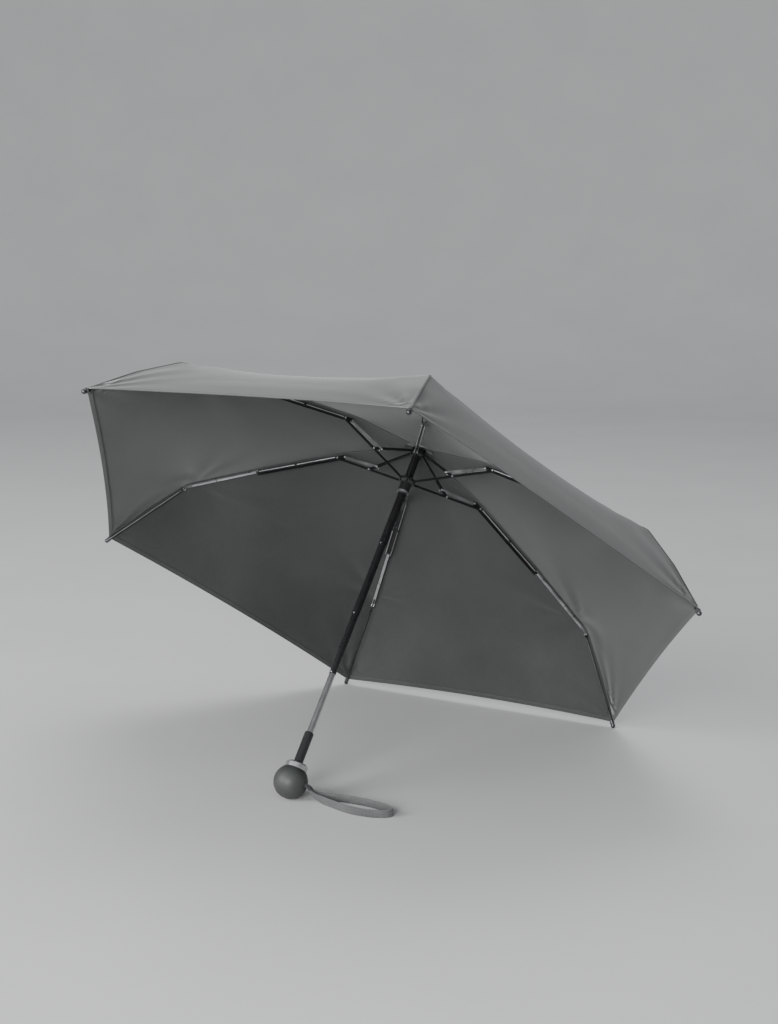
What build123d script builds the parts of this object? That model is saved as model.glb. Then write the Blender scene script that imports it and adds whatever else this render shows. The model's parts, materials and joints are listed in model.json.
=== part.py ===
"""An open compact umbrella, lying on its ball handle and two tips of its six ribs.

Millimetres, +Z up. Each rib folds in five sections. The origin is on the floor, under the middle of the
umbrella's box. Depths run down the shaft from the pivots of the top ribs, and radii run out from the shaft.
Rib a points along +X, and the others follow every 60 degrees. The plane x = 0 is a mirror plane of all but
the strap, with the handle towards -Y.
"""

import os
from math import asin, atan2, cos, degrees, hypot, radians, sin, tan

from build123d import *

# Ribs: places in a rib's own plane, as (radius, depth) with the umbrella open
RIB_COUNT = 6
RIB_NAMES = ("a", "b", "c", "d", "e", "f")
HUB_PIVOT = (8.0, 0.0)
RUNNER_PIVOT = (9.5, 45.5)
TOP_END = (65.3, 32.0)
STRETCHER_OUTER = 57.5
SECOND_SLOPE = 16.4
LINK_TOP_BACK, LINK_TOP_RAISE = 12.335, -1.3
LINK_SECOND_BACK, LINK_SECOND_RAISE = 11.6, -1.3
THIRD_PIVOT = (243.0, 50.9)
OUTER_PIVOT = (356.6, 91.4)
TIP = (450.0, 190.4)

# Ribs: sections
PIN_R, PIN_HOLE_R, PIN_HEAD_R, PIN_HEAD = 0.6, 0.72, 1.3, 0.3
RING_WIRE_R, RING_HOLE_R, RING_GROOVE_R = 0.5, 0.8, 0.66
TOP_INNER, TOP_OUTER, TOP_HALF, TOP_WEB, TOP_OPEN_END = 0.95, 1.55, 1.6, 0.5, 26.0
STRETCHER_WIDE, STRETCHER_HALF, STRETCHER_GROOVE, STRETCHER_FLOOR = 0.8, 1.4, 0.45, 0.8
LINK_INNER, LINK_OUTER, LINK_HALF = 1.7, 2.2, 1.2
SECOND_INNER, SECOND_OUTER, SECOND_HALF, SECOND_WEB, SECOND_OPEN_END = 2.35, 2.9, 1.7, 0.5, 22.0
THIRD_RAISE = 3.2
THIRD_INNER, THIRD_OUTER, THIRD_HALF, THIRD_WEB, THIRD_OPEN_END = 1.3, 1.8, 1.3, 0.5, 12.0
OUTER_DROP, OUTER_WIRE_R, OUTER_EYE_WIDE, OUTER_EYE_R = 3.0, 1.1, 0.9, 1.5
TIP_CAP_R, TIP_CAP_MOUTH_R, TIP_CAP_LENGTH = 3.2, 2.2, 9.0
WIRE_R, WIRE_OUT, GUIDE_HALF, GUIDE_AT = 0.5, 3.8, 1.6, 64.0

# Shaft: tube ends as depths, outer radii and travels
TUBE_WALL, TUBE_GAP = 0.4, 0.1
TUBE_TOPS, TUBE_ENDS = (-4.0, 133.0, 239.0, 325.0), (148.0, 254.0, 340.0, 482.0)
TUBE_RADII = (5.5, 5.0, 4.5, 4.0)
STOP_PIN_R, STOP_PIN_IN, STOP_PIN_OUT, STOP_PIN_BACK = 0.9, 0.3, 0.3, 1.8
NOTCH_TOP, NOTCH_BOTTOM, NOTCH_R, NOTCH_SLOT, NOTCH_SLOT_R, NOTCH_EDGE = -6.0, 6.0, 9.8, 3.6, 6.2, 1.5
RUNNER_TOP, RUNNER_BOTTOM, RUNNER_R, RUNNER_EDGE = 42.5, 67.0, 7.4, 0.6
FLANGE_BOTTOM, FLANGE_NECK, FLANGE_R, FLANGE_EDGE = 48.5, 50.0, 11.3, 0.9
FLANGE_SLOT, FLANGE_SLOT_R, FLANGE_SLOT_END = 2.3, 7.9, 50.5
BAND_TOP, BAND_BOTTOM, BAND_OUT = 62.5, 65.5, 0.5
BUTTON_DEPTH, BUTTON_R, BUTTON_GAP = 56.0, 2.2, 0.15
BUTTON_INNER, BUTTON_OUTER, BUTTON_POCKET, BUTTON_EDGE = 7.1, 8.4, 6.0, 0.5
CAP_TOP, CAP_SHOULDER, CAP_RIM, CAP_BOTTOM = -13.0, (6.8, -11.8), -9.2, -8.6
CAP_R, CAP_STEM_R = 11.0, 3.0

# Handle and strap
BALL_DEPTH, BALL_R, BALL_FLAT = 490.0, 21.5, 474.0
SLEEVE_TOP, SLEEVE_BOTTOM, SLEEVE_R, SLEEVE_EDGE = 423.0, 484.0, 6.0, 1.2
COLLAR_TOP, COLLAR_R, COLLAR_CHAMFER = 466.0, 14.5, 2.0
STRAP_HOLE_R, STRAP_HOLE_DEPTH = 2.2, 7.0
CORD_R = 1.3
WEBBING_THICK, WEBBING_WIDE, WEBBING_LIFT = 1.2, 10.0, 0.2

# Canopy: the underside of the cloth over a rib, as (radius, depth)
CLOTH_OVER_RIB = (
    (0.0, -7.4),
    (14.0, -6.9),
    (112.0, 7.6),
    (243.0, 45.6),
    (357.0, 84.2),
    (404.0, 130.5),
    (449.0, 185.0),
)
CLOTH_THICK, CLOTH_HOLE_R, HEM_SAG = 0.4, 6.5, 3.0
ROSETTE_THICK, ROSETTE_FLAT, ROSETTE_EDGE = 0.4, (10.0, -6.65), (20.0, -5.0)

# The rest on the floor: the ball and the caps of ribs b and c touch it
HALF_STEP = radians(180 / RIB_COUNT)
FOOT_REACH = TIP[0] * cos(HALF_STEP)
FOOT_RISE = BALL_DEPTH - TIP[1]
LEAN = atan2(FOOT_RISE, FOOT_REACH) + asin((BALL_R - TIP_CAP_R) / hypot(FOOT_RISE, FOOT_REACH))
HUB_HEIGHT = BALL_R + BALL_DEPTH * cos(LEAN)
HUB = Plane(origin=(0, TIP[1] * sin(LEAN), HUB_HEIGHT), x_dir=(1, 0, 0), z_dir=(0, sin(LEAN), cos(LEAN)))


def shaft_plane(depth):
    """The plane across the shaft at a depth."""
    return HUB.offset(-depth)


def radial_plane(azimuth):
    """The plane through the shaft at an azimuth: local x is the radius, local y the height over the hub."""
    out = HUB.x_dir * cos(radians(azimuth)) + HUB.y_dir * sin(radians(azimuth))
    return Plane(origin=HUB.origin, x_dir=out, z_dir=out.cross(HUB.z_dir))


def member_plane(azimuth, start, end):
    """The plane of a rib member: from start, local x runs to end and local y to the canopy's side."""
    plane = radial_plane(azimuth)
    origin = plane.from_local_coords(Vector(start[0], -start[1], 0))
    ahead = plane.from_local_coords(Vector(end[0], -end[1], 0))
    return Plane(origin=origin, x_dir=ahead - origin, z_dir=plane.z_dir)


def along(start, slope, distance, raised=0.0):
    """The place at a distance from start down a slope in degrees, raised to the canopy's side."""
    s = radians(slope)
    return (start[0] + distance * cos(s) + raised * sin(s), start[1] + distance * sin(s) - raised * cos(s))


def slope_of(start, end):
    return degrees(atan2(end[1] - start[1], end[0] - start[0]))


def distance(start, end):
    return hypot(end[0] - start[0], end[1] - start[1])


# Pivots that follow from those above
TOP_SLOPE = slope_of(HUB_PIVOT, TOP_END)
STRETCHER_SLOPE = slope_of(RUNNER_PIVOT, TOP_END)
SECOND_PIVOT = along(TOP_END, STRETCHER_SLOPE, STRETCHER_OUTER)
LINK_TOP = along(TOP_END, TOP_SLOPE, -LINK_TOP_BACK, LINK_TOP_RAISE)
LINK_SECOND = along(SECOND_PIVOT, SECOND_SLOPE, -LINK_SECOND_BACK, LINK_SECOND_RAISE)
SECOND_TURN = radians(slope_of(SECOND_PIVOT, THIRD_PIVOT) - SECOND_SLOPE)
SECOND_LENGTH = distance(SECOND_PIVOT, THIRD_PIVOT) * cos(SECOND_TURN)
THIRD_SPAN = distance(THIRD_PIVOT, OUTER_PIVOT)
THIRD_DROP_ANGLE = degrees(asin(OUTER_DROP / THIRD_SPAN))
THIRD_SLOPE = slope_of(THIRD_PIVOT, OUTER_PIVOT) - THIRD_DROP_ANGLE
THIRD_LENGTH = THIRD_SPAN * cos(radians(THIRD_DROP_ANGLE))


def save(name, *solids):
    """Write one node, whose solids touch or stand apart."""
    node = solids[0] if len(solids) == 1 else Compound(children=list(solids))
    node.label = name
    export_step(node, f"parts/{name}.step")


def pins(plane, places, half_span):
    """Rivets through a channel at (x, y) places of its plane, with a head on each side."""
    with BuildPart() as rivets:
        with BuildSketch(plane):
            with Locations(*places):
                Circle(PIN_R)
        extrude(amount=half_span + PIN_HEAD, both=True)
        for side in (half_span, -half_span - PIN_HEAD):
            with BuildSketch(plane.offset(side)):
                with Locations(*places):
                    Circle(PIN_HEAD_R)
            extrude(amount=PIN_HEAD)
    return rivets.part.solids()


def holes(plane, places, radius):
    """Round outlines at (x, y) places of a plane."""
    with BuildSketch(plane) as outline:
        with Locations(*places):
            Circle(radius)
    return outline.sketch


def bar(plane, start, end, half_height):
    """The side outline of a bar with round ends, between two distances along a member."""
    with BuildSketch(plane) as outline:
        with Locations(((start + end) / 2, 0)):
            SlotOverall(end - start + 2 * half_height, 2 * half_height)
    return outline.sketch


def ear(plane, place, radius):
    """The side outline of a raised ear, from the member's line to a pivot beside it."""
    x, y = place
    with BuildSketch(plane) as outline:
        with BuildLine():
            Polyline((x - radius, 0), (x + radius, 0), (x + radius, y), (x - radius, y), close=True)
        make_face()
        with Locations(place):
            Circle(radius)
    return outline.sketch


def window(plane, start, end, low, high):
    """A rectangle between two distances and two heights of a member, for cutting its inside."""
    with BuildSketch(plane) as outline:
        with Locations(((start + end) / 2, (low + high) / 2)):
            Rectangle(end - start, high - low)
    return outline.sketch


def top_rib(azimuth):
    """A channel, open to the canopy, from the hub's ring to the stretcher, with ears for the link."""
    plane = member_plane(azimuth, HUB_PIVOT, TOP_END)
    length = distance(HUB_PIVOT, TOP_END)
    raised = (length - LINK_TOP_BACK, LINK_TOP_RAISE)
    open_from, tall = length - TOP_OPEN_END, 3 * TOP_HALF
    with BuildPart() as rib:
        extrude(bar(plane, 0, length, TOP_HALF), amount=TOP_OUTER, both=True)
        extrude(ear(plane, raised, TOP_HALF), amount=TOP_OUTER, both=True)
        for inside in (
            window(plane, TOP_HALF, open_from, TOP_WEB - TOP_HALF, tall),
            window(plane, open_from, length + tall, -tall, tall),
        ):
            extrude(inside, amount=TOP_INNER, both=True, mode=Mode.SUBTRACT)
        extrude(holes(plane, [(0, 0)], RING_HOLE_R), amount=TOP_OUTER, both=True, mode=Mode.SUBTRACT)
        pivots = holes(plane, [(length, 0), raised], PIN_HOLE_R)
        extrude(pivots, amount=TOP_OUTER, both=True, mode=Mode.SUBTRACT)
    return (rib.part,)


def stretcher(azimuth):
    """A slim bar, grooved on the handle's side, from the runner's ring past the top rib to the second rib."""
    plane = member_plane(azimuth, RUNNER_PIVOT, TOP_END)
    middle = distance(RUNNER_PIVOT, TOP_END)
    length = middle + STRETCHER_OUTER
    eye = 2 * STRETCHER_HALF
    with BuildPart() as rib:
        extrude(bar(plane, 0, length, STRETCHER_HALF), amount=STRETCHER_WIDE, both=True)
        for start, end in ((eye, middle - eye), (middle + eye, length - eye)):
            groove = window(plane, start, end, -STRETCHER_HALF, STRETCHER_FLOOR)
            extrude(groove, amount=STRETCHER_GROOVE, both=True, mode=Mode.SUBTRACT)
        extrude(holes(plane, [(0, 0)], RING_HOLE_R), amount=STRETCHER_WIDE, both=True, mode=Mode.SUBTRACT)
        pivots = holes(plane, [(middle, 0), (length, 0)], PIN_HOLE_R)
        extrude(pivots, amount=STRETCHER_WIDE, both=True, mode=Mode.SUBTRACT)
    return (rib.part,)


def link(azimuth):
    """Two flat straps from the top rib's ears to the second rib's ears."""
    plane = member_plane(azimuth, LINK_TOP, LINK_SECOND)
    length = distance(LINK_TOP, LINK_SECOND)
    with BuildPart() as straps:
        extrude(bar(plane, 0, length, LINK_HALF), amount=LINK_OUTER, both=True)
        between = window(plane, -length, 2 * length, -2 * LINK_HALF, 2 * LINK_HALF)
        extrude(between, amount=LINK_INNER, both=True, mode=Mode.SUBTRACT)
        pivots = holes(plane, [(0, 0), (length, 0)], PIN_HOLE_R)
        extrude(pivots, amount=LINK_OUTER, both=True, mode=Mode.SUBTRACT)
    return straps.part.solids()


def wire_sections(plane, at, radius):
    """The two round sections of a second rib's side wires, at a distance along it."""
    across = Plane(plane.from_local_coords((at, 0, 0)), x_dir=plane.z_dir, z_dir=plane.x_dir)
    return holes(across, [(WIRE_OUT, 0), (-WIRE_OUT, 0)], radius)


def second_rib(azimuth):
    """A channel, open to the handle, with ears at both ends, wire guides on its sides and three rivets."""
    plane = member_plane(azimuth, SECOND_PIVOT, along(SECOND_PIVOT, SECOND_SLOPE, SECOND_LENGTH))
    near, far = (-LINK_SECOND_BACK, LINK_SECOND_RAISE), (SECOND_LENGTH, THIRD_RAISE)
    tall, roof = 4 * SECOND_HALF, SECOND_HALF - SECOND_WEB
    guide = window(plane, GUIDE_AT - GUIDE_HALF, GUIDE_AT + GUIDE_HALF, -GUIDE_HALF, GUIDE_HALF)
    with BuildPart() as rib:
        extrude(guide, amount=WIRE_OUT + 2 * WIRE_R, both=True)
        extrude(bar(plane, near[0], far[0], SECOND_HALF), amount=SECOND_OUTER, both=True)
        for pivot in (near, far):
            extrude(ear(plane, pivot, SECOND_HALF), amount=SECOND_OUTER, both=True)
        for inside in (
            window(plane, near[0] - tall, SECOND_OPEN_END, -tall, tall),
            window(plane, SECOND_OPEN_END, far[0] + tall, -tall, roof),
            window(plane, far[0] - tall, far[0] + tall, roof, tall),
        ):
            extrude(inside, amount=SECOND_INNER, both=True, mode=Mode.SUBTRACT)
        bores = wire_sections(plane, GUIDE_AT - GUIDE_HALF, WIRE_R + TUBE_GAP)
        extrude(bores, amount=2 * GUIDE_HALF, mode=Mode.SUBTRACT)
        pivots = holes(plane, [(0, 0), near, far], PIN_R)
        extrude(pivots, amount=SECOND_OUTER, both=True, mode=Mode.SUBTRACT)
    return rib.part, *pins(plane, [(0, 0), near, far], SECOND_OUTER)


def spring_wire(azimuth):
    """A wire on each side of the second rib, through its guides, that steadies the next joint."""
    plane = member_plane(azimuth, SECOND_PIVOT, along(SECOND_PIVOT, SECOND_SLOPE, SECOND_LENGTH))
    short = 2 * SECOND_HALF
    with BuildPart() as wires:
        extrude(wire_sections(plane, short, WIRE_R), amount=SECOND_LENGTH - 2 * short)
    return wires.part.solids()


def third_rib(azimuth):
    """A bright channel, open to the handle, with ears that carry the outer rib on a rivet."""
    plane = member_plane(azimuth, THIRD_PIVOT, along(THIRD_PIVOT, THIRD_SLOPE, THIRD_LENGTH))
    lowered = (THIRD_LENGTH, -OUTER_DROP)
    open_from, tall = THIRD_LENGTH - THIRD_OPEN_END, 4 * THIRD_HALF
    with BuildPart() as rib:
        extrude(bar(plane, 0, THIRD_LENGTH, THIRD_HALF), amount=THIRD_OUTER, both=True)
        extrude(ear(plane, lowered, THIRD_HALF), amount=THIRD_OUTER, both=True)
        for inside in (
            window(plane, -tall, open_from, -tall, THIRD_HALF - THIRD_WEB),
            window(plane, open_from, THIRD_LENGTH + tall, -tall, tall),
        ):
            extrude(inside, amount=THIRD_INNER, both=True, mode=Mode.SUBTRACT)
        extrude(holes(plane, [(0, 0)], PIN_HOLE_R), amount=THIRD_OUTER, both=True, mode=Mode.SUBTRACT)
        extrude(holes(plane, [lowered], PIN_R), amount=THIRD_OUTER, both=True, mode=Mode.SUBTRACT)
    return rib.part, *pins(plane, [lowered], THIRD_OUTER)


def outer_rib(azimuth):
    """A wire with a flat eye at the third rib, and a separate cap on its tip."""
    plane = member_plane(azimuth, OUTER_PIVOT, TIP)
    length = distance(OUTER_PIVOT, TIP)
    across = Plane(plane.origin, x_dir=plane.z_dir, z_dir=plane.x_dir)
    wire_start, flat_end = 2 * OUTER_EYE_R, 4 * OUTER_EYE_R
    with BuildPart() as wire:
        extrude(bar(plane, 0, wire_start, OUTER_EYE_R), amount=OUTER_EYE_WIDE, both=True)
        extrude(holes(across.offset(wire_start), [(0, 0)], OUTER_WIRE_R), amount=length - wire_start)
        for side in (1, -1):
            beside = window(plane.offset(side * OUTER_EYE_WIDE), 0, flat_end, -OUTER_EYE_R, OUTER_EYE_R)
            extrude(beside, amount=side * OUTER_WIRE_R, mode=Mode.SUBTRACT)
        extrude(holes(plane, [(0, 0)], PIN_HOLE_R), amount=OUTER_EYE_WIDE, both=True, mode=Mode.SUBTRACT)
    # the cap's outline runs from its mouth round the nose to the axis, then back along the wire
    mouth = length - TIP_CAP_LENGTH
    with BuildPart() as cap:
        with BuildSketch(plane):
            with BuildLine():
                nose = CenterArc((length, 0), TIP_CAP_R, 0, 90)
                Polyline(
                    nose @ 0, (length, 0), (length, OUTER_WIRE_R),
                    (mouth, OUTER_WIRE_R), (mouth, TIP_CAP_MOUTH_R), nose @ 1,
                )
            make_face()
        revolve(axis=Axis(plane.origin, plane.x_dir))
    return wire.part, cap.part


def slots(plane, inner, outer, width):
    """The outlines of one radial slot for each rib, open to the outside."""
    with BuildSketch(plane) as outline:
        with PolarLocations((inner + outer) / 2, RIB_COUNT):
            Rectangle(outer - inner, width)
    return outline.sketch


def turned(points):
    """A solid of revolution about the shaft, from (radius, depth) corners."""
    with BuildPart() as body:
        with BuildSketch(radial_plane(0)):
            with BuildLine():
                Polyline([(r, -d) for r, d in points], close=True)
            make_face()
        revolve(axis=Axis(HUB.origin, HUB.z_dir))
    return body.part


def wire_ring(radius, wire, depth):
    with BuildPart() as ring:
        with BuildSketch(radial_plane(0)):
            with Locations((radius, -depth)):
                Circle(wire)
        revolve(axis=Axis(HUB.origin, HUB.z_dir))
    return ring.part


def notch():
    """The hub at the top of the shaft: slotted teeth round a wire ring, and a blind bore for the tube."""
    tube_r = TUBE_RADII[0]
    with BuildPart() as body:
        add(turned([
            (0, NOTCH_TOP), (NOTCH_R, NOTCH_TOP), (NOTCH_R, NOTCH_BOTTOM - NOTCH_EDGE),
            (NOTCH_R - NOTCH_EDGE, NOTCH_BOTTOM), (tube_r, NOTCH_BOTTOM),
            (tube_r, TUBE_TOPS[0]), (0, TUBE_TOPS[0]),
        ]))
        cuts = slots(shaft_plane(NOTCH_TOP), NOTCH_SLOT_R, NOTCH_R + NOTCH_EDGE, NOTCH_SLOT)
        extrude(cuts, amount=NOTCH_TOP - NOTCH_BOTTOM, mode=Mode.SUBTRACT)
        add(wire_ring(HUB_PIVOT[0], RING_GROOVE_R, HUB_PIVOT[1]), mode=Mode.SUBTRACT)
    return body.part


def runner():
    """The slider: a slotted flange for the stretchers over a plain barrel, with a pocket for its button."""
    bore_r = TUBE_RADII[0] + TUBE_GAP
    with BuildPart() as body:
        add(turned([
            (bore_r, RUNNER_TOP), (FLANGE_R - FLANGE_EDGE, RUNNER_TOP), (FLANGE_R, RUNNER_TOP + FLANGE_EDGE),
            (FLANGE_R, FLANGE_BOTTOM - FLANGE_EDGE), (FLANGE_R - FLANGE_EDGE, FLANGE_BOTTOM),
            (RUNNER_R, FLANGE_NECK), (RUNNER_R, RUNNER_BOTTOM - RUNNER_EDGE),
            (RUNNER_R - RUNNER_EDGE, RUNNER_BOTTOM), (bore_r, RUNNER_BOTTOM),
        ]))
        cuts = slots(shaft_plane(RUNNER_TOP), FLANGE_SLOT_R, FLANGE_R + FLANGE_EDGE, FLANGE_SLOT)
        extrude(cuts, amount=RUNNER_TOP - FLANGE_SLOT_END, mode=Mode.SUBTRACT)
        add(wire_ring(RUNNER_PIVOT[0], RING_GROOVE_R, RUNNER_PIVOT[1]), mode=Mode.SUBTRACT)
        with BuildSketch(button_plane().offset(BUTTON_POCKET)):
            Circle(BUTTON_R + BUTTON_GAP)
        extrude(amount=RUNNER_R, mode=Mode.SUBTRACT)
    return body.part


def runner_band():
    outer = RUNNER_R + BAND_OUT
    return turned([(RUNNER_R, BAND_TOP), (outer, BAND_TOP), (outer, BAND_BOTTOM), (RUNNER_R, BAND_BOTTOM)])


def button_plane():
    """Through the shaft at the button's depth, facing the middle of the two ribs on the floor."""
    return Plane(origin=shaft_plane(BUTTON_DEPTH).origin, x_dir=HUB.x_dir, z_dir=HUB.y_dir)


def runner_button():
    with BuildPart() as button:
        with BuildSketch(button_plane().offset(BUTTON_INNER)):
            Circle(BUTTON_R)
        extrude(amount=BUTTON_OUTER - BUTTON_INNER)
        fillet(button.faces().sort_by(Axis(HUB.origin, HUB.y_dir))[-1].edges(), BUTTON_EDGE)
    return button.part


def plain_tube(number):
    top, end, outer = TUBE_TOPS[number], TUBE_ENDS[number], TUBE_RADII[number]
    return turned([(outer - TUBE_WALL, top), (outer, top), (outer, end), (outer - TUBE_WALL, end)])


def tube(number):
    """One shaft tube, and the stop pin in a hole near its lower end; the last tube has no pin."""
    if number == len(TUBE_RADII) - 1:
        return (plain_tube(number),)
    outer = TUBE_RADII[number]
    centre = shaft_plane(TUBE_ENDS[number] - STOP_PIN_BACK).origin
    pin_axis = Plane(origin=centre, x_dir=HUB.z_dir, z_dir=-HUB.y_dir)
    with BuildPart() as body:
        add(plain_tube(number))
        extrude(holes(pin_axis, [(0, 0)], STOP_PIN_R), amount=outer + TUBE_WALL, mode=Mode.SUBTRACT)
    with BuildPart() as pin:
        root = holes(pin_axis.offset(outer - STOP_PIN_IN), [(0, 0)], STOP_PIN_R)
        extrude(root, amount=STOP_PIN_IN + STOP_PIN_OUT)
    return body.part, pin.part


def top_cap():
    """The domed cap over the cloth, with a stem that stands on the hub."""
    with BuildPart() as cap:
        with BuildSketch(radial_plane(0)):
            with BuildLine():
                dome = ThreePointArc((0, -CAP_TOP), (CAP_SHOULDER[0], -CAP_SHOULDER[1]), (CAP_R, -CAP_RIM))
                Polyline(
                    dome @ 1, (CAP_R, -CAP_BOTTOM), (CAP_STEM_R, -CAP_BOTTOM), (CAP_STEM_R, -NOTCH_TOP),
                    (0, -NOTCH_TOP), dome @ 0
                )
            make_face()
        revolve(axis=Axis(HUB.origin, HUB.z_dir))
    return cap.part


def canopy():
    """One cloth of six gores, each curved along its middle only, whose hems bow inward between the tips."""
    narrow = cos(HALF_STEP)
    lower = [(r * narrow, -d) for r, d in CLOTH_OVER_RIB]
    upper = [(u, h + CLOTH_THICK) for u, h in reversed(lower)]
    corner = CLOTH_OVER_RIB[-1][0]
    tips = [(corner * cos(side * HALF_STEP), corner * sin(side * HALF_STEP)) for side in (-1, 1)]
    gores = []
    for number in range(RIB_COUNT):
        middle = radial_plane((number + 0.5) * 360 / RIB_COUNT)
        top_view = Plane(origin=HUB.origin, x_dir=middle.x_dir, z_dir=HUB.z_dir)
        with BuildPart() as gore:
            with BuildSketch(middle):
                with BuildLine():
                    Polyline(*lower, *upper, close=True)
                make_face()
            extrude(amount=corner, both=True)
            with BuildSketch(top_view):
                with BuildLine():
                    Polyline(tips[1], (0, 0), tips[0])
                    ThreePointArc(tips[0], (corner * narrow - HEM_SAG, 0), tips[1])
                make_face()
                Circle(CLOTH_HOLE_R, mode=Mode.SUBTRACT)
            extrude(amount=corner, both=True, mode=Mode.INTERSECT)
        gores.append(gore.part)
    with BuildPart() as cloth:
        for gore in gores:
            add(gore)
    return cloth.part


def hub_rosette():
    """A small cloth disc between the hub and the canopy, drooping at its edge."""
    upper = [(CAP_STEM_R + 0.5, ROSETTE_FLAT[1]), ROSETTE_FLAT, ROSETTE_EDGE]
    return turned(upper + [(r, d + ROSETTE_THICK) for r, d in reversed(upper)])


def handle_ball():
    """A ball with a flat top, a blind bore for the sleeve and a small side hole for the strap's cord."""
    with BuildPart() as ball:
        with Locations(shaft_plane(BALL_DEPTH)):
            Sphere(BALL_R)
        split(bisect_by=shaft_plane(BALL_FLAT), keep=Keep.BOTTOM)
        with BuildSketch(shaft_plane(BALL_FLAT)):
            Circle(SLEEVE_R + TUBE_GAP)
        extrude(amount=BALL_FLAT - SLEEVE_BOTTOM, mode=Mode.SUBTRACT)
        centre = shaft_plane(BALL_DEPTH).origin
        ball_side = Plane(origin=centre, x_dir=(0, 1, 0), z_dir=(1, 0, 0)).offset(BALL_R)
        extrude(holes(ball_side, [(0, 0)], STRAP_HOLE_R), amount=-STRAP_HOLE_DEPTH, mode=Mode.SUBTRACT)
    return ball.part


def handle_sleeve():
    inner = TUBE_RADII[-1] + TUBE_GAP / 2
    return turned([
        (inner, SLEEVE_TOP), (SLEEVE_R - SLEEVE_EDGE, SLEEVE_TOP), (SLEEVE_R, SLEEVE_TOP + SLEEVE_EDGE),
        (SLEEVE_R, SLEEVE_BOTTOM), (inner, SLEEVE_BOTTOM),
    ])


def handle_collar():
    inner = SLEEVE_R + TUBE_GAP
    return turned([
        (inner, COLLAR_TOP), (COLLAR_R - COLLAR_CHAMFER, COLLAR_TOP), (COLLAR_R, COLLAR_TOP + COLLAR_CHAMFER),
        (COLLAR_R, BALL_FLAT), (inner, BALL_FLAT),
    ])


def corner_radii(route):
    """For each corner of a route, 0.45 of its shorter run divided by the tangent of half its turn."""
    points = [Vector(*p) for p in route]
    radii = []
    for before, corner, after in zip(points, points[1:], points[2:]):
        turn = radians((corner - before).get_angle(after - corner))
        radii.append(0.45 * min((corner - before).length, (after - corner).length) / tan(turn / 2))
    return radii


BALL_Y = shaft_plane(BALL_DEPTH).origin.Y
# The cord leaves the ball's side and drops between the two ends of the webbing, as (x, y from the ball, z)
CORD_ROUTE = [(15.5, 0.0, 21.5), (23.3, 0.3, 21.1), (27.4, 3.2, 16.0), (29.8, 6.0, 10.2), (34.4, 6.8, 6.2)]
# The webbing stands on its edge: out along one strand, round its far end and back, as (x, y from the ball)
STRAP_ROUTE = [
    (30.0, 3.6), (46.0, 1.2), (66.0, -4.6), (92.0, -11.4), (117.0, -9.6), (136.0, -2.0), (142.4, 8.8),
    (134.0, 17.6), (112.0, 21.6), (86.0, 23.0), (62.0, 20.2), (44.0, 14.0), (31.0, 9.4),
]


def strap_cord():
    route = [(x, y + BALL_Y, z) for x, y, z in CORD_ROUTE]
    radii = corner_radii(route)
    print("strap_cord arc radii", [round(r, 1) for r in radii])
    with BuildPart() as cord:
        with BuildLine() as path:
            FilletPolyline(*route, radius=radii)
        with BuildSketch(Plane(origin=path.line @ 0, z_dir=path.line % 0)):
            Circle(CORD_R)
        sweep()
    return cord.part


def strap():
    route = [(x, y + BALL_Y) for x, y in STRAP_ROUTE]
    radii = corner_radii([(x, y, 0) for x, y in route])
    print("strap arc radii", [round(r, 1) for r in radii])
    with BuildPart() as webbing:
        with BuildSketch(Plane.XY.offset(WEBBING_LIFT)):
            with BuildLine() as path:
                FilletPolyline(*route, radius=radii)
            trace(line_width=WEBBING_THICK)
        extrude(amount=WEBBING_WIDE)
    print("strap length", round(sum(edge.length for edge in path.edges()), 1))
    return webbing.part


def main():
    os.makedirs("parts", exist_ok=True)
    ribs = (top_rib, stretcher, link, second_rib, spring_wire, third_rib, outer_rib)
    for number, letter in enumerate(RIB_NAMES):
        for make in ribs:
            save(f"{make.__name__}_{letter}", *make(number * 360 / RIB_COUNT))
    for number in range(len(TUBE_RADII)):
        save(f"tube_{number + 1}", *tube(number))
    save("notch", notch())
    save("notch_ring", wire_ring(HUB_PIVOT[0], RING_WIRE_R, HUB_PIVOT[1]))
    save("runner", runner())
    save("runner_rings", wire_ring(RUNNER_PIVOT[0], RING_WIRE_R, RUNNER_PIVOT[1]), runner_band())
    save("runner_button", runner_button())
    save("top_cap", top_cap())
    save("canopy", canopy())
    save("hub_rosette", hub_rosette())
    save("handle_ball", handle_ball())
    save("handle_sleeve", handle_sleeve())
    save("handle_collar", handle_collar())
    save("strap_cord", strap_cord())
    save("strap", strap())


main()
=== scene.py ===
"""The looks of an open compact umbrella: its cloth, threads, rivets, strap, materials, floor and light."""

import json
import math

import bmesh
import bpy
import numpy as np
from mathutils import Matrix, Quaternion, Vector


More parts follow.
